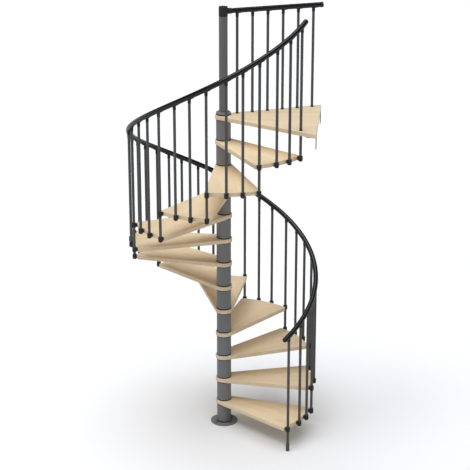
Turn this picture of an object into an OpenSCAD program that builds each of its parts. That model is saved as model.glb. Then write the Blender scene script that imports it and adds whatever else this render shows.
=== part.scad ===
// Spiral stair on a central pole: twelve timber treads threaded on the pole with
// steel spacers between them, a timber landing at the top, a guard of round steel
// bars clipped to the outer tread edges, and a round handrail that climbs over them.
// Millimetres. The pole is the Z axis and the floor is z = 0. The landing's fixing
// edge faces +X, and the flight rises anticlockwise seen from above.

/* [Flight] */
// Height of one step, top to top
rise = 210; // [190:1:225]
// Angle from one tread to the next
tread_step = 30.7; // [28:0.1:32]

/* [Treads] */
// Radius of the outer tread edge
tread_r = 740; // [620:5:900]
// Thickness of a tread and of the landing
tread_t = 34; // [28:1:42]
// Radius of the round end of a tread and of the landing, about the pole
hub_r = 69; // [66:1:95]
// Small step from the round end to the straight sides
tread_shoulder = 0.5; // [0.25:0.25:4]
// How far a tread corner passes its end clip, along the edge
corner_out = 24; // [20:1:34]

/* [Column] */
// Outside diameter of the central pole
pole_d = 70; // [58:1:78]
// Wall of the central pole
pole_wall = 4; // [3:0.5:8]
// Outside diameter of the spacer tubes
spacer_d = 120; // [104:1:130]
// Wall of the spacer tubes
spacer_wall = 4; // [3:0.5:8]
// Thickness of a centring ring's rim
ring_t = 8; // [6:0.5:12]
// How far a ring's rim stands out from the spacers
ring_lip = 1; // [0.5:0.25:3]
// Depth of a centring ring's spigot inside a spacer
ring_spigot = 12; // [6:1:20]
// Height of the collar over the landing
collar_h = 16; // [14:1:40]
// Chamfer round the top of that collar
collar_chamfer = 4; // [1:0.5:6]

/* [Base] */
// Diameter of the base plate
base_d = 228; // [205:1:280]
// Thickness of the base plate
base_t = 8; // [6:1:14]
// Circle of the floor bolts
base_pcd = 168; // [150:1:184]
// Diameter of a floor bolt hole
base_hole_d = 13; // [9:0.5:15]
// Height of the socket that holds the pole
socket_h = 40; // [20:1:80]
// Wall of the socket
socket_wall = 6; // [4:0.5:10]

/* [Balusters] */
// Diameter of a baluster
bar_d = 22; // [16:0.5:24]
// Distance from the tread edge to a baluster's centre
bar_gap = 25; // [22:0.5:35]
// First middle baluster, as a part of the tread step
bar_share_a = 0.37; // [0.3:0.01:0.4]
// Second middle baluster, as a part of the tread step
bar_share_b = 0.68; // [0.6:0.01:0.7]
// Diameter of a clip's barrel
clip_d = 36; // [32:0.5:42]
// Height of a clip's barrel
clip_h = 44; // [36:1:60]
// Chamfer round the top of a clip
clip_chamfer = 2.5; // [1:0.5:4]
// Taper round the underside of a clip
clip_taper = 6; // [2:0.5:7]
// Floor under a baluster that ends in a clip
clip_floor = 4; // [2:0.5:8]
// Width of the lug that joins a clip to the tread
lug_w = 22; // [14:1:28]
// Height of that lug
lug_h = 26; // [18:1:28]
// Wall of the tip on top of a baluster
tip_wall = 1.6; // [1.4:0.1:5]
// Length of a tip, up to the underside of the rail
tip_h = 30; // [24:1:50]
// Solid part of a tip under the rail
tip_web = 12; // [9:0.5:16]
// Chamfer round the lower end of a tip
tip_chamfer = 1; // [0.5:0.25:1.5]
// How far a tip flares out towards the rail
tip_flare = 1; // [0.5:0.25:5]
// Diameter of the foot under the first baluster
foot_d = 30; // [28:0.5:38]
// Height of that foot
foot_h = 65; // [40:1:100]
// Chamfer round that foot's ends
foot_chamfer = 1.5; // [0.5:0.25:2.5]
// Floor of that foot
foot_floor = 6; // [3:0.5:12]

/* [Handrail] */
// Diameter of the handrail and of the landing rail
rail_d = 41; // [34:1:48]
// Height of the handrail's axis over the line of tread tops
rail_height = 824; // [760:1:960]
// How far the handrail runs past its first and last baluster
rail_over = 46; // [30:1:80]
// Straight part of the handrail's domed end plugs
plug_skirt = 5; // [3:0.5:16]
// Flat in the middle of such a dome
plug_flat = 4; // [2:0.5:16]

/* [Landing] */
// How far the landing's fixing edge lies beyond the circle of balusters
landing_past = 5; // [0:1:60]
// Angle of the landing's front edge from its centre line
landing_front = 29.5; // [22:0.5:32]
// How far that front edge is set back inside the landing's round end
landing_shoulder = 0.5; // [0.25:0.25:4]
// Angle of the landing rail and the back edge from the centre line
landing_back = 24; // [18:0.5:32]
// Distance from the landing's edges to the balusters that stand in it
landing_inset = 30; // [24:1:40]
// Distance from the pole to the first landing baluster
guard_first = 116; // [100:1:140]
// How far inside the circle of flight balusters the last landing baluster stands
guard_short = 4; // [0:1:40]
// Depth of a landing baluster's socket
guard_sink = 22; // [12:1:26]
// How much higher the landing rail runs than the handrail's end
guard_lift = 15; // [0:1:60]
// How far the landing rail runs past its last baluster
guard_over = 60; // [30:1:90]
// Height of the collar round a bar on the landing
guard_collar_h = 10; // [8:0.5:20]
// Diameter of that collar
guard_collar_d = 27; // [26:0.5:38]
// Chamfer round the top of that collar
guard_collar_chamfer = 1.5; // [0.5:0.25:2.5]
// Length of the plug on the landing rail's free end
guard_plug_l = 20; // [12:1:30]
// How far that plug stands out round the rail
guard_plug_lip = 1.5; // [0.5:0.25:3]
// Rounding of that plug's rim
guard_plug_round = 3; // [1:0.5:6]

/* [Newel cap] */
// Diameter of the cap on the pole
cap_d = 72; // [70:0.5:90]
// Height of the cap
cap_h = 76; // [62:1:120]
// Rounding of the cap's rim
cap_round = 4; // [2:0.5:10]
// Depth of the cap's spigot in the pole
cap_spigot = 40; // [20:1:80]
// Wall of the sleeve that joins the landing rail to the cap
sleeve_wall = 2.7; // [1.5:0.1:6]
// Length of that sleeve
sleeve_l = 30; // [24:1:70]
// Solid part of that sleeve against the cap
sleeve_web = 8; // [5:0.5:12]

/* [Fixing brackets] */
// Width of a bracket
bracket_w = 60; // [40:1:90]
// Thickness of a bracket
bracket_t = 6; // [4:0.5:10]
// Drop of a bracket below the landing
bracket_drop = 100; // [80:1:160]
// Length of a bracket's leg under the landing
bracket_leg = 80; // [60:1:120]
// Distance between the two brackets
bracket_span = 740; // [600:5:780]
// Diameter of a wall bolt hole
bracket_hole_d = 13; // [9:0.5:15]
// Distance between a bracket's two holes
bracket_hole_pitch = 50; // [40:1:60]

/* [Fits] */
// Clearance round a bar, pole or rail in its hole
fit = 0.3; // [0.1:0.05:0.6]

/* [Hidden] */
$fn = 96;

// Counts that the list of nodes follows
tread_count = 12;
guard_count = 6;
bars_per_tread = 3;

// A small overlap that makes cuts pass right through
past = 1;
// Points round the handrail, and turn between its sections
rail_sides = 16;
rail_turn = 4;

// Heights
landing_top = rise * (tread_count + 1);
guard_z = landing_top + rail_height + guard_lift;
pole_top = guard_z - cap_h / 2;

// The circle of balusters and the handrail's slope over it
bar_r = tread_r + bar_gap;
bar_hole_d = bar_d + 2 * fit;
rail_hole_d = rail_d + 2 * fit;
pole_hole_d = pole_d + 2 * fit;
socket_d = pole_hole_d + 2 * socket_wall;
tip_d = bar_hole_d + 2 * tip_wall;
sleeve_d = rail_hole_d + 2 * sleeve_wall;
plug_round = (rail_d - plug_flat) / 2;
slope = atan(rise / (bar_r * tread_step * PI / 180));
front_offset = hub_r - landing_shoulder;
last_angle = -landing_front - asin((front_offset - landing_inset) / bar_r);
first_angle = last_angle - tread_count * tread_step;
last_bar = tread_count * bars_per_tread;

// Half the angle that a tread spans, at its corners and along its straight sides
half_span = tread_step / 2 + corner_out / tread_r * 180 / PI;
side_offset = hub_r - tread_shoulder;
half_side = half_span - asin(side_offset / tread_r);

// The landing's corners: its front edge runs into the round end, and its back edge
// runs beside the straight row of landing balusters
landing_reach = bar_r + landing_past;
landing_front_y = landing_reach * tan(landing_front) + front_offset / cos(landing_front);
landing_back_y = landing_reach * tan(landing_back) + landing_inset / cos(landing_back);
bracket_mid = (landing_back_y - landing_front_y) / 2;

// Position of baluster i along the flight, in tread steps
function turn_of(i) = floor(i / bars_per_tread) + [0, bar_share_a, bar_share_b][i % bars_per_tread];
function angle_at(turn) = first_angle + tread_step * turn;
function tread_top(k) = rise * k;
function tread_mid(k) = tread_top(k) - tread_t / 2;
function rail_z(turn) = rise * (turn + 1) + rail_height;
// The tread whose clip carries the lower end of baluster i
function carrier(i) = i % bars_per_tread == 0 ? i / bars_per_tread : floor(i / bars_per_tread) + 1;
function bar_bottom(i) =
    i == 0 ? foot_floor + fit : tread_mid(carrier(i)) - clip_h / 2 + clip_floor + fit;
function bar_top(i) = rail_z(turn_of(i)) - rail_d / 2 - tip_web - fit;

// Puts its children at an angle and radius about the pole, with X pointing outwards
module around(angle, radius, z = 0) {
    rotate([0, 0, angle]) translate([radius, 0, z]) children();
}

// A ring or tube standing on z = 0
module tube(outer_d, inner_d, h) {
    difference() {
        cylinder(d = outer_d, h = h);
        translate([0, 0, -past]) cylinder(d = inner_d, h = h + 2 * past);
    }
}

// A barrel with chamfered rims, standing on z = 0
module barrel(d, h, low, high) {
    rotate_extrude() polygon([
        [0, 0], [d / 2 - low, 0], [d / 2, low],
        [d / 2, h - high], [d / 2 - high, h], [0, h]
    ]);
}

// A round plug with a rounded end, standing on z = 0
module domed(d, h, round) {
    rotate_extrude() union() {
        square([d / 2, h - round]);
        square([d / 2 - round, h]);
        intersection() {
            square([d / 2, h]);
            translate([d / 2 - round, h - round]) circle(r = round);
        }
    }
}

// Steel base plate with its floor bolt holes and the socket that takes the pole
module base_plate() {
    color("dimgray") difference() {
        union() {
            cylinder(d = base_d, h = base_t);
            cylinder(d = socket_d, h = base_t + socket_h);
        }
        translate([0, 0, base_t]) cylinder(d = pole_hole_d, h = socket_h + past);
        for (a = [45 : 90 : 315]) around(a, base_pcd / 2, -past) {
            cylinder(d = base_hole_d, h = base_t + 2 * past);
        }
    }
}

// Steel pole that every tread is threaded on
module centre_pole() {
    color("gray") translate([0, 0, base_t]) tube(pole_d, pole_d - 2 * pole_wall, pole_top - base_t);
}

// One spacer tube under each tread and under the landing
module column_spacers() {
    color("dimgray") for (k = [1 : tread_count + 1]) {
        foot = (k == 1 ? base_t : tread_top(k - 1)) + ring_t;
        translate([0, 0, foot]) tube(
            spacer_d, spacer_d - 2 * spacer_wall,
            tread_top(k) - tread_t - ring_t - foot
        );
    }
}

// Centring ring: a rim between spacer and tread, and a spigot inside the spacer
module centring_ring(bore = pole_hole_d) {
    difference() {
        union() {
            cylinder(d = spacer_d + 2 * ring_lip, h = ring_t);
            cylinder(d = spacer_d - 2 * spacer_wall - 2 * fit, h = ring_t + ring_spigot);
        }
        translate([0, 0, -past]) cylinder(d = bore, h = ring_t + ring_spigot + 2 * past);
    }
}

// A ring on top of and under every tread and the landing, and one about the base plate's socket
module centring_rings() {
    color("black") {
        translate([0, 0, base_t]) centring_ring(socket_d + 2 * fit);
        for (k = [1 : tread_count + 1]) {
            translate([0, 0, tread_top(k)]) centring_ring();
            translate([0, 0, tread_top(k) - tread_t]) mirror([0, 0, 1]) centring_ring();
        }
    }
}

// Short collar that closes the stack over the landing and grips the pole
module top_collar() {
    color("dimgray") translate([0, 0, landing_top + ring_t]) difference() {
        barrel(spacer_d, collar_h, collar_chamfer / 4, collar_chamfer);
        translate([0, 0, -past]) cylinder(
            d = spacer_d - 2 * spacer_wall, h = ring_spigot + fit + past
        );
        translate([0, 0, -past]) cylinder(d = pole_hole_d, h = collar_h + 2 * past);
    }
}

// Outline of a tread about the X axis: round end, two tangent sides and an arc
module tread_outline() {
    reach = tread_r * 1.2;
    touch = side_offset * [cos(90 + half_side), sin(90 + half_side)];
    far = touch + reach * [cos(half_side), sin(half_side)];
    intersection() {
        circle(r = tread_r);
        union() {
            circle(r = hub_r);
            polygon([touch, far, [far.x, -far.y], [touch.x, -touch.y]]);
        }
    }
}

// Timber tread number k, bored for the pole
module tread(k) {
    color("burlywood") translate([0, 0, tread_top(k) - tread_t])
        rotate([0, 0, angle_at(k - 0.5)]) difference() {
            linear_extrude(tread_t) tread_outline();
            translate([0, 0, -past]) cylinder(d = pole_hole_d, h = tread_t + 2 * past);
        }
}

// Outline of the landing: round end, front edge, fixing edge along Y, back edge
module landing_outline() {
    front_touch = front_offset * [-sin(landing_front), -cos(landing_front)];
    back_touch = landing_inset * [-sin(landing_back), cos(landing_back)];
    union() {
        circle(r = hub_r);
        polygon([
            [0, 0], front_touch,
            [landing_reach, -landing_front_y], [landing_reach, landing_back_y],
            back_touch
        ]);
    }
}

// Distance of landing baluster j from the pole
guard_pitch = (bar_r - guard_short - guard_first) / (guard_count - 1);
function guard_at(j) = guard_first + guard_pitch * j;

// Timber landing, bored for the pole, the last flight baluster and the landing balusters
module landing() {
    color("burlywood") difference() {
        translate([0, 0, landing_top - tread_t]) linear_extrude(tread_t) landing_outline();
        translate([0, 0, landing_top - tread_t - past]) cylinder(d = pole_hole_d, h = tread_t + 2 * past);
        around(last_angle, bar_r, landing_top - tread_t - past) {
            cylinder(d = bar_hole_d, h = tread_t + 2 * past);
        }
        for (j = [0 : guard_count - 1]) around(landing_back, guard_at(j), landing_top - guard_sink) {
            cylinder(d = bar_hole_d, h = guard_sink + past);
        }
    }
}

// Steel angle that hangs under the fixing edge, with two wall bolt holes
module fixing_bracket() {
    difference() {
        union() {
            translate([-bracket_leg, -bracket_w / 2, -bracket_t]) cube([bracket_leg, bracket_w, bracket_t]);
            translate([-bracket_t, -bracket_w / 2, -bracket_drop]) cube([bracket_t, bracket_w, bracket_drop]);
        }
        for (s = [-1, 1]) translate([0, 0, -(bracket_drop + bracket_t) / 2 + s * bracket_hole_pitch / 2])
            rotate([0, -90, 0]) translate([0, 0, -past]) cylinder(d = bracket_hole_d, h = bracket_t + 2 * past);
    }
}

// The two brackets, centred on the fixing edge
module fixing_brackets() {
    color("dimgray") for (s = [-1, 1]) {
        translate([landing_reach, bracket_mid + s * bracket_span / 2, landing_top - tread_t]) fixing_bracket();
    }
}

// Clip on a tread edge, X outwards, centred on the tread's thickness and the bar.
// A clip at the end of a bar has a floor; the others are bored right through.
module tread_clip(has_floor) {
    difference() {
        union() {
            translate([0, 0, -clip_h / 2]) barrel(clip_d, clip_h, clip_taper, clip_chamfer);
            translate([-bar_gap - past, -lug_w / 2, -lug_h / 2]) cube([bar_gap + past, lug_w, lug_h]);
        }
        translate([0, 0, has_floor ? clip_floor - clip_h / 2 : -clip_h / 2 - past]) {
            cylinder(d = bar_hole_d, h = clip_h + 2 * past);
        }
        translate([-bar_r, 0, -clip_h]) cylinder(r = tread_r + fit, h = 2 * clip_h, $fn = 360);
    }
}

// Four clips on every tread
module tread_clips() {
    color("black") for (k = [1 : tread_count], n = [0 : bars_per_tread]) {
        around(angle_at(turn_of(bars_per_tread * (k - 1) + n)), bar_r, tread_mid(k)) tread_clip(n > 0);
    }
}

// Foot sleeve under the first baluster
module baluster_foot() {
    color("dimgray") around(angle_at(0), bar_r) difference() {
        barrel(foot_d, foot_h, foot_chamfer, foot_chamfer);
        translate([0, 0, foot_floor]) cylinder(d = bar_hole_d, h = foot_h);
    }
}

// Baluster number i of the flight
module baluster(i) {
    color("gray") around(angle_at(turn_of(i)), bar_r, bar_bottom(i)) {
        cylinder(d = bar_d, h = bar_top(i) - bar_bottom(i));
    }
}

// The balusters whose places start at tread k
module balusters(k) {
    for (n = [0 : bars_per_tread - 1]) baluster(bars_per_tread * (k - 1) + n);
}

// Tip that caps a bar and saddles the rail; z = 0 is the rail's axis, which climbs along +Y
module tip(climb) {
    difference() {
        translate([0, 0, -rail_d / 2 - tip_h]) union() {
            barrel(tip_d, tip_h, tip_chamfer, 0);
            translate([0, 0, tip_h - tip_web]) {
                cylinder(d1 = tip_d, d2 = tip_d + 2 * tip_flare, h = tip_web + rail_d / 3);
            }
        }
        translate([0, 0, -rail_d / 2 - tip_h - past]) cylinder(d = bar_hole_d, h = tip_h - tip_web + past);
        rotate([climb - 90, 0, 0]) cylinder(d = rail_hole_d, h = 4 * tip_d, center = true);
    }
}

// Tips under the handrail
module baluster_tips() {
    color("black") for (i = [0 : last_bar]) {
        around(angle_at(turn_of(i)), bar_r, rail_z(turn_of(i))) tip(slope);
    }
}

// Ends of the handrail, in tread steps
over_turn = rail_over * cos(slope) / (bar_r * PI / 180) / tread_step;
rail_from = -over_turn;
rail_to = tread_count + over_turn;
rail_rings = ceil((rail_to - rail_from) * tread_step / rail_turn);

// Point number s of the handrail's section at a turn, square to its climbing axis
function rail_point(turn, s) = let (
    a = angle_at(turn),
    u = 360 * s / rail_sides,
    out = bar_r + rail_d / 2 * cos(u),
    along = -rail_d / 2 * sin(u) * sin(slope),
    up = rail_z(turn) + rail_d / 2 * sin(u) * cos(slope)
) [out * cos(a) - along * sin(a), out * sin(a) + along * cos(a), up];

// Round handrail swept along the helix over the balusters
module handrail() {
    points = [
        for (r = [0 : rail_rings], s = [0 : rail_sides - 1])
            rail_point(rail_from + (rail_to - rail_from) * r / rail_rings, s)
    ];
    skin = [
        for (r = [0 : rail_rings - 1], s = [0 : rail_sides - 1])
            let (a = r * rail_sides, b = a + rail_sides, t = (s + 1) % rail_sides)
                each [[a + s, a + t, b + s], [a + t, b + t, b + s]]
    ];
    start_face = [for (s = [0 : rail_sides - 1]) rail_sides - 1 - s];
    end_face = [for (s = [0 : rail_sides - 1]) rail_rings * rail_sides + s];
    color("black") polyhedron(points, concat([start_face], skin, [end_face]));
}

// Balusters of the landing guard, in a straight row from the pole
module landing_balusters() {
    bottom = landing_top - guard_sink + fit;
    color("gray") for (j = [0 : guard_count - 1]) around(landing_back, guard_at(j), bottom) {
        cylinder(d = bar_d, h = guard_z - rail_d / 2 - tip_web - fit - bottom);
    }
}

// Collars where bars meet the landing
module landing_collars() {
    color("black") {
        around(last_angle, bar_r, landing_top) landing_collar();
        for (j = [0 : guard_count - 1]) around(landing_back, guard_at(j), landing_top) landing_collar();
    }
}

module landing_collar() {
    difference() {
        barrel(guard_collar_d, guard_collar_h, guard_collar_chamfer / 3, guard_collar_chamfer);
        translate([0, 0, -past]) cylinder(d = bar_hole_d, h = guard_collar_h + 2 * past);
    }
}

// Tips under the landing rail
module landing_tips() {
    color("black") for (j = [0 : guard_count - 1]) {
        around(landing_back, guard_at(j), guard_z) rotate([0, 0, -90]) tip(0);
    }
}

// Where the landing rail starts in its sleeve and where it ends
guard_from = cap_d / 2 + fit + sleeve_web;
guard_to = guard_at(guard_count - 1) + guard_over;

// Straight tube of the landing rail
module landing_rail() {
    color("black") around(landing_back, guard_from, guard_z) rotate([0, 90, 0]) {
        cylinder(d = rail_d, h = guard_to - guard_from);
    }
}

// Sleeve that carries the landing rail on the newel cap
module rail_sleeve() {
    color("black") difference() {
        around(landing_back, 0, guard_z) rotate([0, 90, 0]) cylinder(d = sleeve_d, h = cap_d / 2 + sleeve_l);
        around(landing_back, guard_from - fit, guard_z) rotate([0, 90, 0]) cylinder(d = rail_hole_d, h = sleeve_l);
        translate([0, 0, pole_top - past]) cylinder(d = cap_d + 2 * fit, h = cap_h + 2 * past);
    }
}

// Cap on the pole, with a rounded rim and a spigot in the pole's bore
module newel_cap() {
    color("black") translate([0, 0, pole_top]) union() {
        domed(cap_d, cap_h, cap_round);
        translate([0, 0, -cap_spigot]) cylinder(d = pole_d - 2 * pole_wall - 2 * fit, h = cap_spigot + past);
    }
}

// Domed plugs on both ends of the handrail
module handrail_plugs() {
    color("black") {
        around(angle_at(rail_from), bar_r, rail_z(rail_from)) rotate([90 + slope, 0, 0]) {
            domed(rail_d, plug_skirt + plug_round, plug_round);
        }
        around(angle_at(rail_to), bar_r, rail_z(rail_to)) rotate([slope - 90, 0, 0]) {
            domed(rail_d, plug_skirt + plug_round, plug_round);
        }
    }
}

// Flat plug on the landing rail's free end
module landing_rail_plug() {
    color("black") around(landing_back, guard_to, guard_z) rotate([0, 90, 0]) {
        domed(rail_d + 2 * guard_plug_lip, guard_plug_l, guard_plug_round);
    }
}

base_plate();
centre_pole();
column_spacers();
centring_rings();
top_collar();
tread(1);  // tread_01
tread(2);  // tread_02
tread(3);  // tread_03
tread(4);  // tread_04
tread(5);  // tread_05
tread(6);  // tread_06
tread(7);  // tread_07
tread(8);  // tread_08
tread(9);  // tread_09
tread(10);  // tread_10
tread(11);  // tread_11
tread(12);  // tread_12
landing();
fixing_brackets();
tread_clips();
baluster_foot();
balusters(1);  // balusters_01
balusters(2);  // balusters_02
balusters(3);  // balusters_03
balusters(4);  // balusters_04
balusters(5);  // balusters_05
balusters(6);  // balusters_06
balusters(7);  // balusters_07
balusters(8);  // balusters_08
balusters(9);  // balusters_09
balusters(10);  // balusters_10
balusters(11);  // balusters_11
balusters(12);  // balusters_12
baluster(last_bar);  // last_baluster
baluster_tips();
handrail();
landing_balusters();
landing_collars();
landing_tips();
landing_rail();
rail_sleeve();
newel_cap();
handrail_plugs();
landing_rail_plug();
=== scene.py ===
from math import acos, asin, atan, atan2, cos, degrees, pi, radians, sin, tan

import bmesh
import bpy
from mathutils import Matrix, Vector


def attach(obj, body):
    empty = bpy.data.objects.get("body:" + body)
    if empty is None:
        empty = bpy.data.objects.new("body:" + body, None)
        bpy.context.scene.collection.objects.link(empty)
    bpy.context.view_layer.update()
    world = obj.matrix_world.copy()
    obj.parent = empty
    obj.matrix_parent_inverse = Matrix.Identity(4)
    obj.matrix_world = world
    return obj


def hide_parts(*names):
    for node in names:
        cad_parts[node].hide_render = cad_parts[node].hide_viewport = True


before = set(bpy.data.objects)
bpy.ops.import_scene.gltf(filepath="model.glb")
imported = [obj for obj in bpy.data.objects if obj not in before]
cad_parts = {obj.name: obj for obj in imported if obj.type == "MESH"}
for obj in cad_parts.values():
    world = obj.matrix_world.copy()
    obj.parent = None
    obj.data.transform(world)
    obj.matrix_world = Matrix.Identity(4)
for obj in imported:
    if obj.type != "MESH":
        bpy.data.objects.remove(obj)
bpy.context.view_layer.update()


# Base plate: a steel disc on the floor, coated in the column's grey.
# Four anchor bolts with washers hold it down, and the column stands on it.
class Shade:
    """A shader socket. Sums on it add Math nodes, and node() adds any other node."""

    def __init__(self, socket):
        self.socket = socket
        self.tree = socket.id_data

    @staticmethod
    def node(tree, kind, settings=None, sockets=None, out=0):
        made = tree.nodes.new("ShaderNode" + kind)
        for name, value in (settings or {}).items():
            setattr(made, name, value)
        for name, value in (sockets or {}).items():
            if isinstance(value, Shade):
                tree.links.new(value.socket, made.inputs[name])
            else:
                made.inputs[name].default_value = value
        return Shade(made.outputs[out])

    def maths(self, operation, *others):
        return Shade.node(self.tree, "Math", {"operation": operation}, dict(enumerate((self, *others))))

    def part(self, axis):
        return Shade.node(self.tree, "SeparateXYZ", {}, {0: self}, out=axis)

    def between(self, low, high):
        return self * (high - low) + low

    def __add__(self, other):
        return self.maths("ADD", other)

    def __sub__(self, other):
        return self.maths("SUBTRACT", other)

    def __rsub__(self, other):
        return self * -1 + other

    def __mul__(self, other):
        return self.maths("MULTIPLY", other)

    def __gt__(self, other):
        return self.maths("GREATER_THAN", other)

    def __lt__(self, other):
        return self.maths("LESS_THAN", other)

    __radd__ = __add__
    __rmul__ = __mul__


def srgb(red, green, blue):
    """A colour as it shows on screen, 0 to 255, as a shader takes it."""
    shares = (level / 255 for level in (red, green, blue))
    return (*(s / 12.92 if s <= 0.04045 else ((s + 0.055) / 1.055) ** 2.4 for s in shares), 1)


def blend(tree, share, first, second):
    """Colour that goes from first to second as share goes from 0 to 1."""
    return Shade.node(tree, "Mix", {"data_type": "RGBA"}, {0: share, 6: first, 7: second}, out=2)


def finish(name, colour, rough, relief, **constants):
    """A material; colour(tree), rough(tree) and relief(tree) give what varies over it."""
    material = bpy.data.materials.new(name)
    material.use_nodes = True
    tree = material.node_tree
    surface = tree.nodes["Principled BSDF"]
    varying = {"Base Color": colour(tree), "Roughness": rough(tree), "Normal": relief(tree)}
    for socket, value in varying.items():
        tree.links.new(value.socket, surface.inputs[socket])
    for socket, value in constants.items():
        surface.inputs[socket.replace("_", " ")].default_value = value
    return material


def place(tree):
    """Where a point lies on its piece, in metres."""
    return Shade.node(tree, "TexCoord", out="Object")


def noise(tree, where, scale=1, detail=2, rough=0.5):
    sockets = {"Vector": where, "Scale": scale, "Detail": detail, "Roughness": rough}
    return Shade.node(tree, "TexNoise", {}, sockets)


def bump(tree, height, depth, strength):
    return Shade.node(tree, "Bump", {}, {"Height": height, "Distance": depth, "Strength": strength})


def powder_coat(name, low, high):
    """Satin powder coat: a faint cloudiness and the fine orange peel of the baked powder."""

    def peel(tree):
        coarse = noise(tree, place(tree), scale=700)
        fine = noise(tree, place(tree), scale=2600, detail=1)
        return bump(tree, coarse * 0.7 + fine * 0.3, depth=0.00025, strength=0.35)

    return finish(
        name,
        lambda t: blend(t, noise(t, place(t), scale=14, detail=4, rough=0.65), low, high),
        lambda t: noise(t, place(t), scale=60, detail=3).between(0.38, 0.54),
        peel,
    )


def show(name, mesh, material, slot, *nodes):
    """Puts a mesh in the scene as a piece that rides on the stair and stands for the named nodes."""
    piece = bpy.data.objects.new(name, mesh)
    bpy.context.scene.collection.objects.link(piece)
    mesh.materials.append(material)
    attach(piece, "root")
    if nodes:
        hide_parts(*nodes)


def paint(material, *nodes):
    """Gives carried-over nodes their finish."""
    for node in nodes:
        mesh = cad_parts[node].data
        mesh.materials.clear()
        mesh.materials.append(material)


def turned(shape, profile, sides, where=Matrix.Identity(4)):
    """Adds a turned form to a bmesh: profile is (radius, height) from the first end to the last."""
    turns = [2 * pi * s / sides for s in range(sides)]
    rings = []
    for radius, height in profile:
        if radius == 0:
            rings.append([shape.verts.new(where @ Vector((0, 0, height)))] * sides)
        else:
            spots = [Vector((radius * cos(t), radius * sin(t), height)) for t in turns]
            rings.append([shape.verts.new(where @ spot) for spot in spots])
    for low, high in zip(rings, rings[1:]):
        for s in range(sides):
            n = (s + 1) % sides
            corners = list(dict.fromkeys((low[s], low[n], high[n], high[s])))
            if len(corners) > 2:
                shape.faces.new(corners).smooth = True


def rounded(radius, height, ease, steps=4):
    """The outer part of a turned profile's rim, from the side at full radius in to the flat top."""
    turns = [pi / 2 * i / steps for i in range(steps + 1)]
    return [(radius - ease + ease * cos(t), height - ease + ease * sin(t)) for t in turns]


def mesh_of(shape, name, sharp=35):
    """Closes a bmesh into a mesh, with edges sharper than the angle kept crisp."""
    bmesh.ops.recalc_face_normals(shape, faces=shape.faces)
    mesh = bpy.data.meshes.new(name)
    shape.to_mesh(mesh)
    shape.free()
    mesh.set_sharp_from_angle(angle=radians(sharp))
    return mesh


column_coat = powder_coat("column_coat", srgb(123, 123, 124), srgb(131, 131, 132))
bolt_steel = finish(
    "bolt_steel",
    lambda t: blend(t, noise(t, place(t), scale=220, detail=3), srgb(112, 112, 112), srgb(134, 134, 132)),
    lambda t: noise(t, place(t), scale=400).between(0.4, 0.6),
    lambda t: bump(t, noise(t, place(t), scale=1500), depth=0.0001, strength=0.4),
    Metallic=0.7,
)
paint(column_coat, "base_plate")
plate_top, bolt_circle, bolt_count, first_bolt, nut_turn = 0.008, 0.084, 4, 45, 0.3
washer_r, washer_t, washer_ease = 0.012, 0.0025, 0.0006
washer = [(0, 0), (washer_r, 0), *rounded(washer_r, washer_t, washer_ease), (0, washer_t)]
nut = [(0, washer_t), (0.0104, washer_t), (0.0104, 0.0085), (0.009, 0.0098), (0, 0.01)]
stud = [(0, 0.0098), (0.006, 0.0098), (0.006, 0.0135), (0.0052, 0.0145), (0, 0.0145)]
shape = bmesh.new()
for bolt in range(bolt_count):
    about = Matrix.Rotation(radians(first_bolt + 360 / bolt_count * bolt), 4, "Z")
    spot = about @ Matrix.Translation((bolt_circle, 0, plate_top))
    turned(shape, washer, sides=32, where=spot)
    turned(shape, nut, sides=6, where=spot @ Matrix.Rotation(nut_turn + bolt, 4, "Z"))
    turned(shape, stud, sides=24, where=spot)
show("floor_anchor_bolts", mesh_of(shape, "floor_anchor_bolts"), bolt_steel, "column_grey")


# Column: a steel pole and thirteen steel spacer tubes, one under every tread and the landing.
# All are coated in satin grey, the pole a shade darker; it shows only over the landing.
paint(column_coat, "column_spacers")
paint(powder_coat("pole_coat", srgb(106, 106, 106), srgb(113, 113, 113)), "centre_pole")


# Centring rings: moulded black rings on the base plate, and above and below each tread and the landing.
# Their spigots sit inside the spacers and keep the stack in line.
def moulded(name, low, high, gloss):
    """Black moulded plastic with a fine spark-eroded grain."""
    return finish(
        name,
        lambda t: blend(t, noise(t, place(t), scale=35, detail=3), low, high),
        lambda t: noise(t, place(t), scale=240, detail=3).between(gloss, gloss + 0.14),
        lambda t: bump(t, noise(t, place(t), scale=1500), depth=0.0002, strength=0.3),
        Specular_IOR_Level=0.3,
    )


paint(moulded("ring_black", srgb(11, 11, 11), srgb(17, 17, 17), gloss=0.5), "centring_rings")


# Treads: twelve wedges of edge-glued beech staves, with eased edges and matt varnish.
# Each is bored for the pole and clamped between two rings.
stave_width, stave_length, row_shift = 0.042, 0.56, 0.37
side_glue, end_glue, fleck_level = 0.01, 0.0008, 0.66
pale_beech, warm_beech = srgb(250, 231, 197), srgb(236, 210, 172)
fibre_brown, fleck_brown, glue_brown = srgb(211, 182, 140), srgb(195, 160, 118), srgb(185, 152, 112)


def in_panel(tree):
    """Where a point lies in its panel: along the staves, across them and through the thickness."""
    return Shade.node(tree, "Attribute", {"attribute_name": "panel"}, out="Vector")


def grain(tree, where, along, across, detail=3, rough=0.6):
    """Noise drawn out along the staves, with so many waves to a metre along and across them."""
    waves = {0: where, 1: (along, across, across)}
    drawn = Shade.node(tree, "VectorMath", {"operation": "MULTIPLY"}, waves)
    return noise(tree, drawn, detail=detail, rough=rough)


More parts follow.
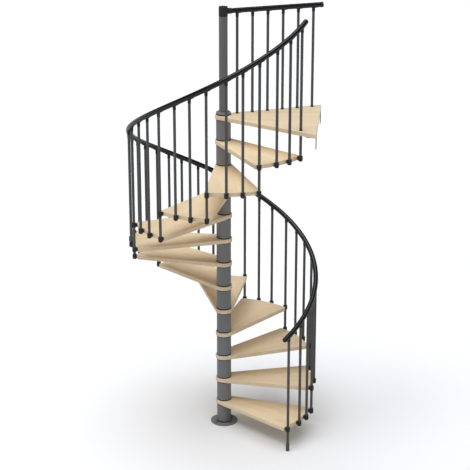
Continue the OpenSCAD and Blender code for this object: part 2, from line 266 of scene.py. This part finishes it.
def stave(tree):
    """A number from 0 to 1 for each glued stave, and whether a point lies in a glue line."""
    across = in_panel(tree).part("Y") * (1 / stave_width)
    row = across.maths("FLOOR")
    along = in_panel(tree).part("X") * (1 / stave_length) + row * row_shift
    cell = Shade.node(tree, "CombineXYZ", {}, {"X": along.maths("FLOOR"), "Y": row})
    tone = Shade.node(tree, "TexWhiteNoise", {"noise_dimensions": "3D"}, {"Vector": cell}, out="Value")
    side = (across.maths("FRACT") - 0.5).maths("ABSOLUTE") > 0.5 - side_glue
    end = (along.maths("FRACT") - 0.5).maths("ABSOLUTE") > 0.5 - end_glue
    return tone, side.maths("MAXIMUM", end)


def beech_colour(tree):
    """Each stave has its own tone and figure, with fine fibres, short flecks and thin glue lines."""
    tone, glue = stave(tree)
    own_place = Shade.node(tree, "CombineXYZ", {}, {"X": tone * 9, "Y": tone * 5, "Z": tone * 3})
    where = Shade.node(tree, "VectorMath", {"operation": "ADD"}, {0: in_panel(tree), 1: own_place})
    figure = grain(tree, where, along=2.2, across=26, detail=5)
    fibre = grain(tree, where, along=14, across=420)
    fleck = grain(tree, where, along=170, across=900, detail=1, rough=0.5) > fleck_level
    plain = blend(tree, tone * 0.55 + figure * 0.45, pale_beech, warm_beech)
    grained = blend(tree, (fibre - 0.5).maths("ABSOLUTE") * 0.9, plain, fibre_brown)
    flecked = blend(tree, fleck * 0.35, grained, fleck_brown)
    return blend(tree, glue * 0.3, flecked, glue_brown)


def beech_relief(tree):
    glue = stave(tree)[1]
    fibre = grain(tree, in_panel(tree), along=18, across=520)
    return bump(tree, fibre - glue * 0.8, depth=0.00018, strength=0.35)


beech = finish(
    "beech",
    beech_colour,
    lambda t: grain(t, in_panel(t), along=8, across=120, rough=0.5).between(0.4, 0.54),
    beech_relief,
    Coat_Weight=0.12,
    Coat_Roughness=0.35,
)


def arc(centre, radius, start, stop, count):
    """Points on an arc, ends included, in degrees."""
    turns = [radians(start + (stop - start) * i / count) for i in range(count + 1)]
    return [(centre[0] + radius * cos(t), centre[1] + radius * sin(t)) for t in turns]


edge_ease, edge_steps = 0.003, 4
board_along, board_across, board_through = 1.7, 0.813, 0.3


def eased_panel(name, outline, thickness, bore, top, turn, board):
    """A panel about the pole with eased edges; outline(inset) gives its edge drawn in by that much.
    Each panel is cut from another board, counted by number, so that no two show the same grain."""
    eases = [pi / 2 * i / edge_steps for i in range(edge_steps + 1)]
    section = [(edge_ease * (1 - sin(a)), edge_ease * (1 - cos(a))) for a in eases]
    section += [(inset, thickness - height) for inset, height in reversed(section)]
    shape = bmesh.new()
    panel = shape.verts.layers.float_vector.new("panel")
    turned_by = Matrix.Rotation(turn, 4, "Z")

    def ring(points, height):
        made = []
        for x, y in points:
            v = shape.verts.new(turned_by @ Vector((x, y, top - thickness + height)))
            v[panel] = (x + board_along * board, y + board_across * board, height + board_through * board)
            made.append(v)
        return made

    def hole(height):
        ways = [atan2(y, x) for x, y in outline(0)]
        return ring([(bore * cos(way), bore * sin(way)) for way in ways], height)

    rings = [hole(0)] + [ring(outline(inset), height) for inset, height in section] + [hole(thickness)]
    rings.append(rings[0])
    for low, high in zip(rings, rings[1:]):
        for i in range(len(low)):
            n = (i + 1) % len(low)
            shape.faces.new((low[i], low[n], high[n], high[i])).smooth = True
    return mesh_of(shape, name, sharp=25)


tread_count, bars_per_tread = 12, 3
rise, tread_step = 0.210, 30.7
tread_r, tread_t, hub_r, bar_r = 0.740, 0.034, 0.069, 0.765
corner_out, corner_ease, pole_bore = 0.024, 0.006, 0.0353
tread_shoulder = landing_shoulder = 0.0005
landing_front, landing_back, landing_inset, landing_reach = 29.5, 24, 0.030, 0.770
side_offset, front_offset = hub_r - tread_shoulder, hub_r - landing_shoulder
last_angle = -landing_front - degrees(asin((front_offset - landing_inset) / bar_r))
first_angle = last_angle - tread_count * tread_step
half_span = tread_step / 2 + degrees(corner_out / tread_r)
half_side = half_span - degrees(asin(side_offset / tread_r))


def tread_outline(inset):
    """A tread's edge: outer curve, a small rounded corner, the round end about the pole, a corner."""
    inner = tread_r - corner_ease
    lean = half_side + degrees(asin((side_offset - corner_ease) / inner))
    meet = half_side + 90 - degrees(acos((side_offset - inset) / (hub_r - inset)))
    upper = (inner * cos(radians(lean)), inner * sin(radians(lean)))
    lower = (upper[0], -upper[1])
    return (
        arc((0, 0), tread_r - inset, -lean, lean, count=28)
        + arc(upper, corner_ease - inset, lean, half_side + 90, count=5)[1:]
        + arc((0, 0), hub_r - inset, meet, 360 - meet, count=28)
        + arc(lower, corner_ease - inset, 270 - half_side, 360 - lean, count=5)[:-1]
    )


for number in range(1, tread_count + 1):
    name = "tread_%02d" % number
    turn = radians(first_angle + tread_step * (number - 0.5))
    mesh = eased_panel("beech_" + name, tread_outline, tread_t, pole_bore, rise * number, turn, number)
    show("beech_" + name, mesh, beech, "beech", name)


# Landing: a beech panel with a straight outer edge that meets the upper floor.
# Its round end is threaded on the pole over the last tread.
def landing_outline(inset):
    """The landing's edge: two rounded corners on the straight side and the round end about the pole."""
    x = landing_reach - corner_ease
    front, back = radians(landing_front), radians(landing_back)
    low = -(front_offset - corner_ease + sin(front) * x) / cos(front)
    high = (landing_inset - corner_ease + sin(back) * x) / cos(back)
    leave = 90 + landing_back - degrees(acos((landing_inset - inset) / (hub_r - inset)))
    meet = 270 - landing_front + degrees(acos((front_offset - inset) / (hub_r - inset)))
    return (
        arc((x, low), corner_ease - inset, -90 - landing_front, 0, count=6)
        + arc((x, high), corner_ease - inset, 0, 90 + landing_back, count=6)
        + arc((0, 0), hub_r - inset, leave, meet, count=32)
    )


rise_count = tread_count + 1
landing_top = rise * rise_count
mesh = eased_panel("beech_landing", landing_outline, tread_t, pole_bore, landing_top, 0, rise_count)
show("beech_landing", mesh, beech, "beech", "landing")


# Top collar: a steel collar that closes the stack over the landing and grips the pole.
# Three grub screws clamp it.
ring_t, collar_r, collar_bore, collar_h = 0.008, 0.060, 0.0355, 0.016
foot_ease, rim_ease = 0.0005, 0.006
collar_low = landing_top + ring_t
collar_high = collar_low + collar_h
collar = [
    (collar_bore, collar_low), (collar_r - foot_ease, collar_low), (collar_r, collar_low + foot_ease),
    *rounded(collar_r, collar_high, rim_ease, steps=6),
    (collar_bore, collar_high), (collar_bore, collar_low),
]
shape = bmesh.new()
turned(shape, collar, sides=96)
mesh = mesh_of(shape, "collar_over_landing")
show("collar_over_landing", mesh, column_coat, "column_grey", "top_collar")

grub_count, first_grub, grub_sunk, grub_up = 3, 200, 0.0004, 0.006
grub_screw = [
    (0, -0.003), (0.004, -0.003), (0.004, 0.0006), (0.0036, 0.001),
    (0.0023, 0.001), (0.0021, -0.0025), (0, -0.0025),
]
shape = bmesh.new()
for grub in range(grub_count):
    about = Matrix.Rotation(radians(360 / grub_count * grub + first_grub), 4, "Z")
    spot = about @ Matrix.Translation((collar_r - grub_sunk, 0, collar_low + grub_up))
    turned(shape, grub_screw, sides=24, where=spot @ Matrix.Rotation(pi / 2, 4, "Y"))
show("collar_grub_screws", mesh_of(shape, "collar_grub_screws"), bolt_steel, "column_grey")


# Fixing brackets: two bent steel angles under the landing's straight edge.
# They are screwed to the landing and bolted to the edge of the upper floor.
paint(column_coat, "fixing_brackets")
bracket_t, bracket_span = 0.006, 0.740
screw_rows, screw_aside = (0.700, 0.728), 0.016
bracket_under = landing_top - tread_t - bracket_t


def edge_end(angle, offset):
    """How far aside one end of the landing's straight edge lies."""
    return landing_reach * tan(radians(angle)) + offset / cos(radians(angle))


bracket_mid = (edge_end(landing_back, landing_inset) - edge_end(landing_front, front_offset)) / 2
bracket_screw = [
    (0, 0), (0.0058, 0), (0.0058, 0.0006), (0.0044, 0.0028),
    (0.002, 0.0036), (0.0016, 0.0012), (0, 0.0012),
]
shape = bmesh.new()
for y in (bracket_mid - bracket_span / 2, bracket_mid + bracket_span / 2):
    for x in screw_rows:
        for aside in (-screw_aside, screw_aside):
            spot = Matrix.Translation((x, y + aside, bracket_under))
            turned(shape, bracket_screw, sides=24, where=spot @ Matrix.Rotation(pi, 4, "X"))
show("bracket_screws", mesh_of(shape, "bracket_screws"), bolt_steel, "column_grey")


# Tread clips: moulded black clips on the outer tread edges, four to a tread.
# A barrel takes the baluster, and a lug is screwed to the tread's edge.
clip_black = moulded("clip_black", srgb(40, 40, 41), srgb(50, 50, 51), gloss=0.42)
clip_r, clip_h, bar_bore, seat_depth = 0.018, 0.044, 0.0113, 0.006
lug_w, lug_h, lug_ease, lug_in = 0.022, 0.026, 0.003, 0.0002
bar_gap, screw_sunk, screw_down = 0.025, 0.0008, 0.002
bar_shares = (0, 0.37, 0.68)


def turn_of(bar):
    """How far up the flight a baluster stands, in treads."""
    return bar // bars_per_tread + bar_shares[bar % bars_per_tread]


def angle_at(turn):
    """The angle about the pole so many treads up."""
    return radians(first_angle + tread_step * turn)


clip_low, clip_high = -clip_h / 2, clip_h / 2
clip_barrel = [
    (0, clip_low), (clip_r - 0.0075, clip_low), (clip_r - 0.006, clip_low + 0.0006),
    (clip_r - 0.0006, clip_low + 0.0062), (clip_r, clip_low + 0.0085),
    *rounded(clip_r, clip_high, ease=0.0025),
    (bar_bore + 0.0012, clip_high), (bar_bore, clip_high - 0.001),
    (bar_bore, clip_high - seat_depth), (0, clip_high - seat_depth),
]
clip_screw = [
    (0, -0.001), (0.0042, -0.001), (0.0042, 0.001), (0.0037, 0.0014),
    (0.0023, 0.0014), (0.0021, -0.0004), (0, -0.0004),
]
screw_spot = Matrix.Translation((clip_r - screw_sunk, 0, -screw_down)) @ Matrix.Rotation(pi / 2, 4, "Y")


def add_lug(shape, spot):
    """The lug between a clip's barrel and the tread, with its four long edges rounded."""
    lug = bmesh.ops.create_cube(shape, size=1)["verts"]
    bmesh.ops.scale(shape, verts=lug, vec=(bar_gap, lug_w, lug_h))
    bmesh.ops.translate(shape, verts=lug, vec=(-bar_gap / 2 - lug_in, 0, 0))
    edges = dict.fromkeys(edge for v in lug for edge in v.link_edges)
    long_edges = [e for e in edges if abs(e.verts[0].co.x - e.verts[1].co.x) > bar_gap / 2]
    eased = bmesh.ops.bevel(shape, geom=long_edges, offset=lug_ease, segments=3, affect="EDGES", profile=0.5)
    moved = {v for f in eased["faces"] for v in f.verts} | {v for v in lug if v.is_valid}
    bmesh.ops.transform(shape, matrix=spot, verts=list(moved))


shape = bmesh.new()
for tread in range(1, tread_count + 1):
    for clip in range(bars_per_tread + 1):
        about = Matrix.Rotation(angle_at(turn_of(bars_per_tread * (tread - 1) + clip)), 4, "Z")
        spot = about @ Matrix.Translation((bar_r, 0, rise * tread - tread_t / 2))
        turned(shape, clip_barrel, sides=36, where=spot)
        add_lug(shape, spot)
        turned(shape, clip_screw, sides=20, where=spot @ screw_spot)
show("tread_edge_clips", mesh_of(shape, "tread_edge_clips"), clip_black, "black_plastic", "tread_clips")


# Balusters: round steel tubes coated in dark grey, three to a tread, each held by a clip or two.
# The first one stands on the floor in a foot sleeve, and the last one passes through the landing.
bar_coat = powder_coat("bar_coat", srgb(77, 77, 77), srgb(85, 85, 85))
paint(bar_coat, "baluster_foot", "last_baluster", "landing_balusters")
paint(bar_coat, *("balusters_%02d" % tread for tread in range(1, tread_count + 1)))


# Tips: moulded black caps on the balusters, cut to saddle the rails, and collars at the landing.
# Each tip has a thin plate that lies under the rail on its uphill side and is screwed to it.
paint(clip_black, "baluster_tips", "landing_tips", "landing_collars")
rail_r, rail_height, rail_over = 0.0205, 0.824, 0.046
guard_count, guard_first, guard_short, guard_lift = 6, 0.116, 0.004, 0.015
guard_last, guard_z = bar_r - guard_short, landing_top + rail_height + guard_lift
slope = atan(rise / (bar_r * radians(tread_step)))
turns_per_metre = cos(slope) / bar_r / radians(tread_step)
saddle_half, saddle_t, saddle_sunk, saddle_taper = radians(44), 0.0032, 0.0006, 0.35
saddle_behind, saddle_ahead = 0.010, 0.036
saddle_rows, saddle_columns, same_spot = 14, 10, 1e-6


def on_handrail(turn, around, radius):
    """A point about the handrail's axis: turn counts treads, around goes from its outer side up."""
    a, height = angle_at(turn), rise * (turn + 1) + rail_height
    out, along = bar_r + radius * cos(around), -radius * sin(around) * sin(slope)
    x, y = out * cos(a) - along * sin(a), out * sin(a) + along * cos(a)
    return Vector((x, y, height + radius * sin(around) * cos(slope)))


def on_landing_rail(along, around, radius):
    """The same about the landing rail, with the distance from the pole."""
    a, out = radians(landing_back), radius * cos(around)
    x, y = along * cos(a) + out * sin(a), along * sin(a) - out * cos(a)
    return Vector((x, y, guard_z + radius * sin(around)))


def saddle(shape, rail, start, stop):
    """A thin plate under a rail with a soft rim that dips into it."""
    sheets = []
    for thick in (saddle_t, 0):
        sheet = []
        for r in range(saddle_rows + 1):
            t = 2 * r / saddle_rows - 1
            along = start + (stop - start) * r / saddle_rows
            half = saddle_half * (1 - saddle_taper * abs(t) ** 5)
            line = []
            for c in range(saddle_columns + 1):
                w = 2 * c / saddle_columns - 1
                radius = rail_r - saddle_sunk + thick * (1 - t ** 6) * (1 - w ** 6)
                line.append(shape.verts.new(rail(along, -pi / 2 + half * w, radius)))
            sheet.append(line)
        sheets.append(sheet)
    for sheet in sheets:
        for r in range(saddle_rows):
            for c in range(saddle_columns):
                corners = [sheet[r][c], sheet[r][c + 1], sheet[r + 1][c + 1], sheet[r + 1][c]]
                if (r < saddle_rows // 2) != (c < saddle_columns // 2):
                    corners = corners[1:] + corners[:1]
                for face in (corners[:3], [corners[0], *corners[2:]]):
                    shape.faces.new(face).smooth = True
    both = [v for sheet in sheets for line in sheet for v in line]
    bmesh.ops.remove_doubles(shape, verts=both, dist=same_spot)


shape = bmesh.new()
behind, ahead = saddle_behind * turns_per_metre, saddle_ahead * turns_per_metre
for bar in range(bars_per_tread * tread_count + 1):
    saddle(shape, on_handrail, turn_of(bar) - behind, turn_of(bar) + ahead)
for bar in range(guard_count):
    along = guard_first + (guard_last - guard_first) * bar / (guard_count - 1)
    saddle(shape, on_landing_rail, along - saddle_behind, along + saddle_ahead)
show("rail_saddles", mesh_of(shape, "rail_saddles"), clip_black, "black_plastic")


# Handrail: a round black sleeve on a steel tube, bent to the helix over the balusters.
# Moulded domes plug both ends.
rail_black = finish(
    "rail_black",
    lambda t: blend(t, noise(t, place(t), scale=25, detail=4), srgb(15, 15, 16), srgb(21, 21, 22)),
    lambda t: noise(t, place(t), scale=90, detail=3).between(0.17, 0.29),
    lambda t: bump(t, noise(t, place(t), scale=900), depth=0.0002, strength=0.2),
    Specular_IOR_Level=0.44,
)
rail_sides, rail_sections, over_turn = 36, 260, rail_over * turns_per_metre
shape = bmesh.new()
sweep = []
for section in range(rail_sections + 1):
    turn = -over_turn + (tread_count + 2 * over_turn) * section / rail_sections
    ring = [on_handrail(turn, 2 * pi * s / rail_sides, rail_r) for s in range(rail_sides)]
    sweep.append([shape.verts.new(point) for point in ring])
for low, high in zip(sweep, sweep[1:]):
    for s in range(rail_sides):
        n = (s + 1) % rail_sides
        shape.faces.new((low[s], low[n], high[n], high[s])).smooth = True
for end in (sweep[0], sweep[-1]):
    shape.faces.new(end)
show("helical_handrail", mesh_of(shape, "helical_handrail"), rail_black, "rail_black", "handrail")
paint(rail_black, "handrail_plugs")


# Landing rail: a straight length of the same rail from the newel cap, with a plug on its free end.
# A sleeve joins it to the cap that closes the pole.
paint(rail_black, "landing_rail")
paint(clip_black, "rail_sleeve", "newel_cap", "landing_rail_plug")


# Studio: a white paper floor in a white room, whose ceiling is dark where glossy pieces mirror it.
# The room's light falls softly from above and a little from the front.
# One broad soft lamp hangs overhead, and a smaller, weaker one to the front left.
floor_r = 60
floor_shape = bmesh.new()
bmesh.ops.create_circle(floor_shape, cap_ends=True, segments=64, radius=floor_r)
floor_mesh = bpy.data.meshes.new("studio_floor")
floor_shape.to_mesh(floor_mesh)
floor_shape.free()
floor = bpy.data.objects.new("studio_floor", floor_mesh)
bpy.context.scene.collection.objects.link(floor)
paper = bpy.data.materials.new("studio_paper")
paper.use_nodes = True
tree = paper.node_tree
tree.nodes.remove(tree.nodes["Principled BSDF"])
paper_lit, paper_seen = (0.585, 0.59, 0.6, 1), (0.913, 0.918, 0.931, 1)
seen = Shade.node(tree, "LightPath", out="Is Camera Ray")
sheet = Shade.node(tree, "BsdfDiffuse", {}, {"Color": blend(tree, seen, paper_lit, paper_seen)})
tree.links.new(sheet.socket, tree.nodes["Material Output"].inputs["Surface"])
floor_mesh.materials.append(paper)

world = bpy.data.worlds.new("studio")
bpy.context.scene.world = world
world.use_nodes = True
tree = world.node_tree
from_above, from_front, all_round = 0.44, 0.28, 0.05
ceiling_mirrored, ceiling_fall = 0.05, 7
cool, white = (0.96, 0.99, 1.035, 1), (1, 1, 1, 1)
seen = Shade.node(tree, "LightPath", out="Is Camera Ray")
mirrored = Shade.node(tree, "LightPath", out="Is Glossy Ray")
way = Shade.node(tree, "TexCoord", out="Generated")
up = way.part("Z").maths("MAXIMUM", 0)
front = (way.part("Y") * -1).maths("MAXIMUM", 0)
gloss = (1 - up).maths("POWER", ceiling_fall).between(ceiling_mirrored, 1)
light = up * from_above + front * from_front + all_round
strength = seen + (1 - seen) * (mirrored * gloss + (1 - mirrored) * light)
tint = blend(tree, seen.maths("MAXIMUM", mirrored), cool, white)
background = tree.nodes["Background"]
tree.links.new(strength.socket, background.inputs["Strength"])
tree.links.new(tint.socket, background.inputs["Color"])


def soft_lamp(name, energy, spread, to_front, to_left):
    """A far lamp that looks spread degrees wide, so many degrees to the front and left of overhead."""
    data = bpy.data.lights.new(name, "SUN")
    data.energy = energy
    data.angle = radians(spread)
    lamp = bpy.data.objects.new(name, data)
    bpy.context.scene.collection.objects.link(lamp)
    lamp.rotation_euler = (radians(to_front), -radians(to_left), 0)


soft_lamp("overhead_softbox", energy=1.99, spread=60, to_front=4, to_left=8)
soft_lamp("key_lamp", energy=0.38, spread=22, to_front=17, to_left=26)


# Camera: looks down at the stair from the photograph's side, through a long lens.
# A small shift places the stair in the frame as the photograph does.
camera_data = bpy.data.cameras.new("photo_camera")
focal_px, frame_px, sensor = 1546.5, 470, 36
camera_data.sensor_width = sensor
camera_data.lens = focal_px / frame_px * sensor
camera_data.shift_y = -0.04
camera_data.clip_end = 200
camera = bpy.data.objects.new("photo_camera", camera_data)
bpy.context.scene.collection.objects.link(camera)
away, aside, height = 12.0, 0.0929, 6.0638
azimuth, tilt = radians(5.579), radians(19.295)
camera.location = (
    aside * cos(azimuth) + away * sin(azimuth),
    aside * sin(azimuth) - away * cos(azimuth),
    height,
)
camera.rotation_euler = (pi / 2 - tilt, 0, azimuth)
bpy.context.scene.camera = camera
bpy.context.scene.view_settings.view_transform = "Standard"
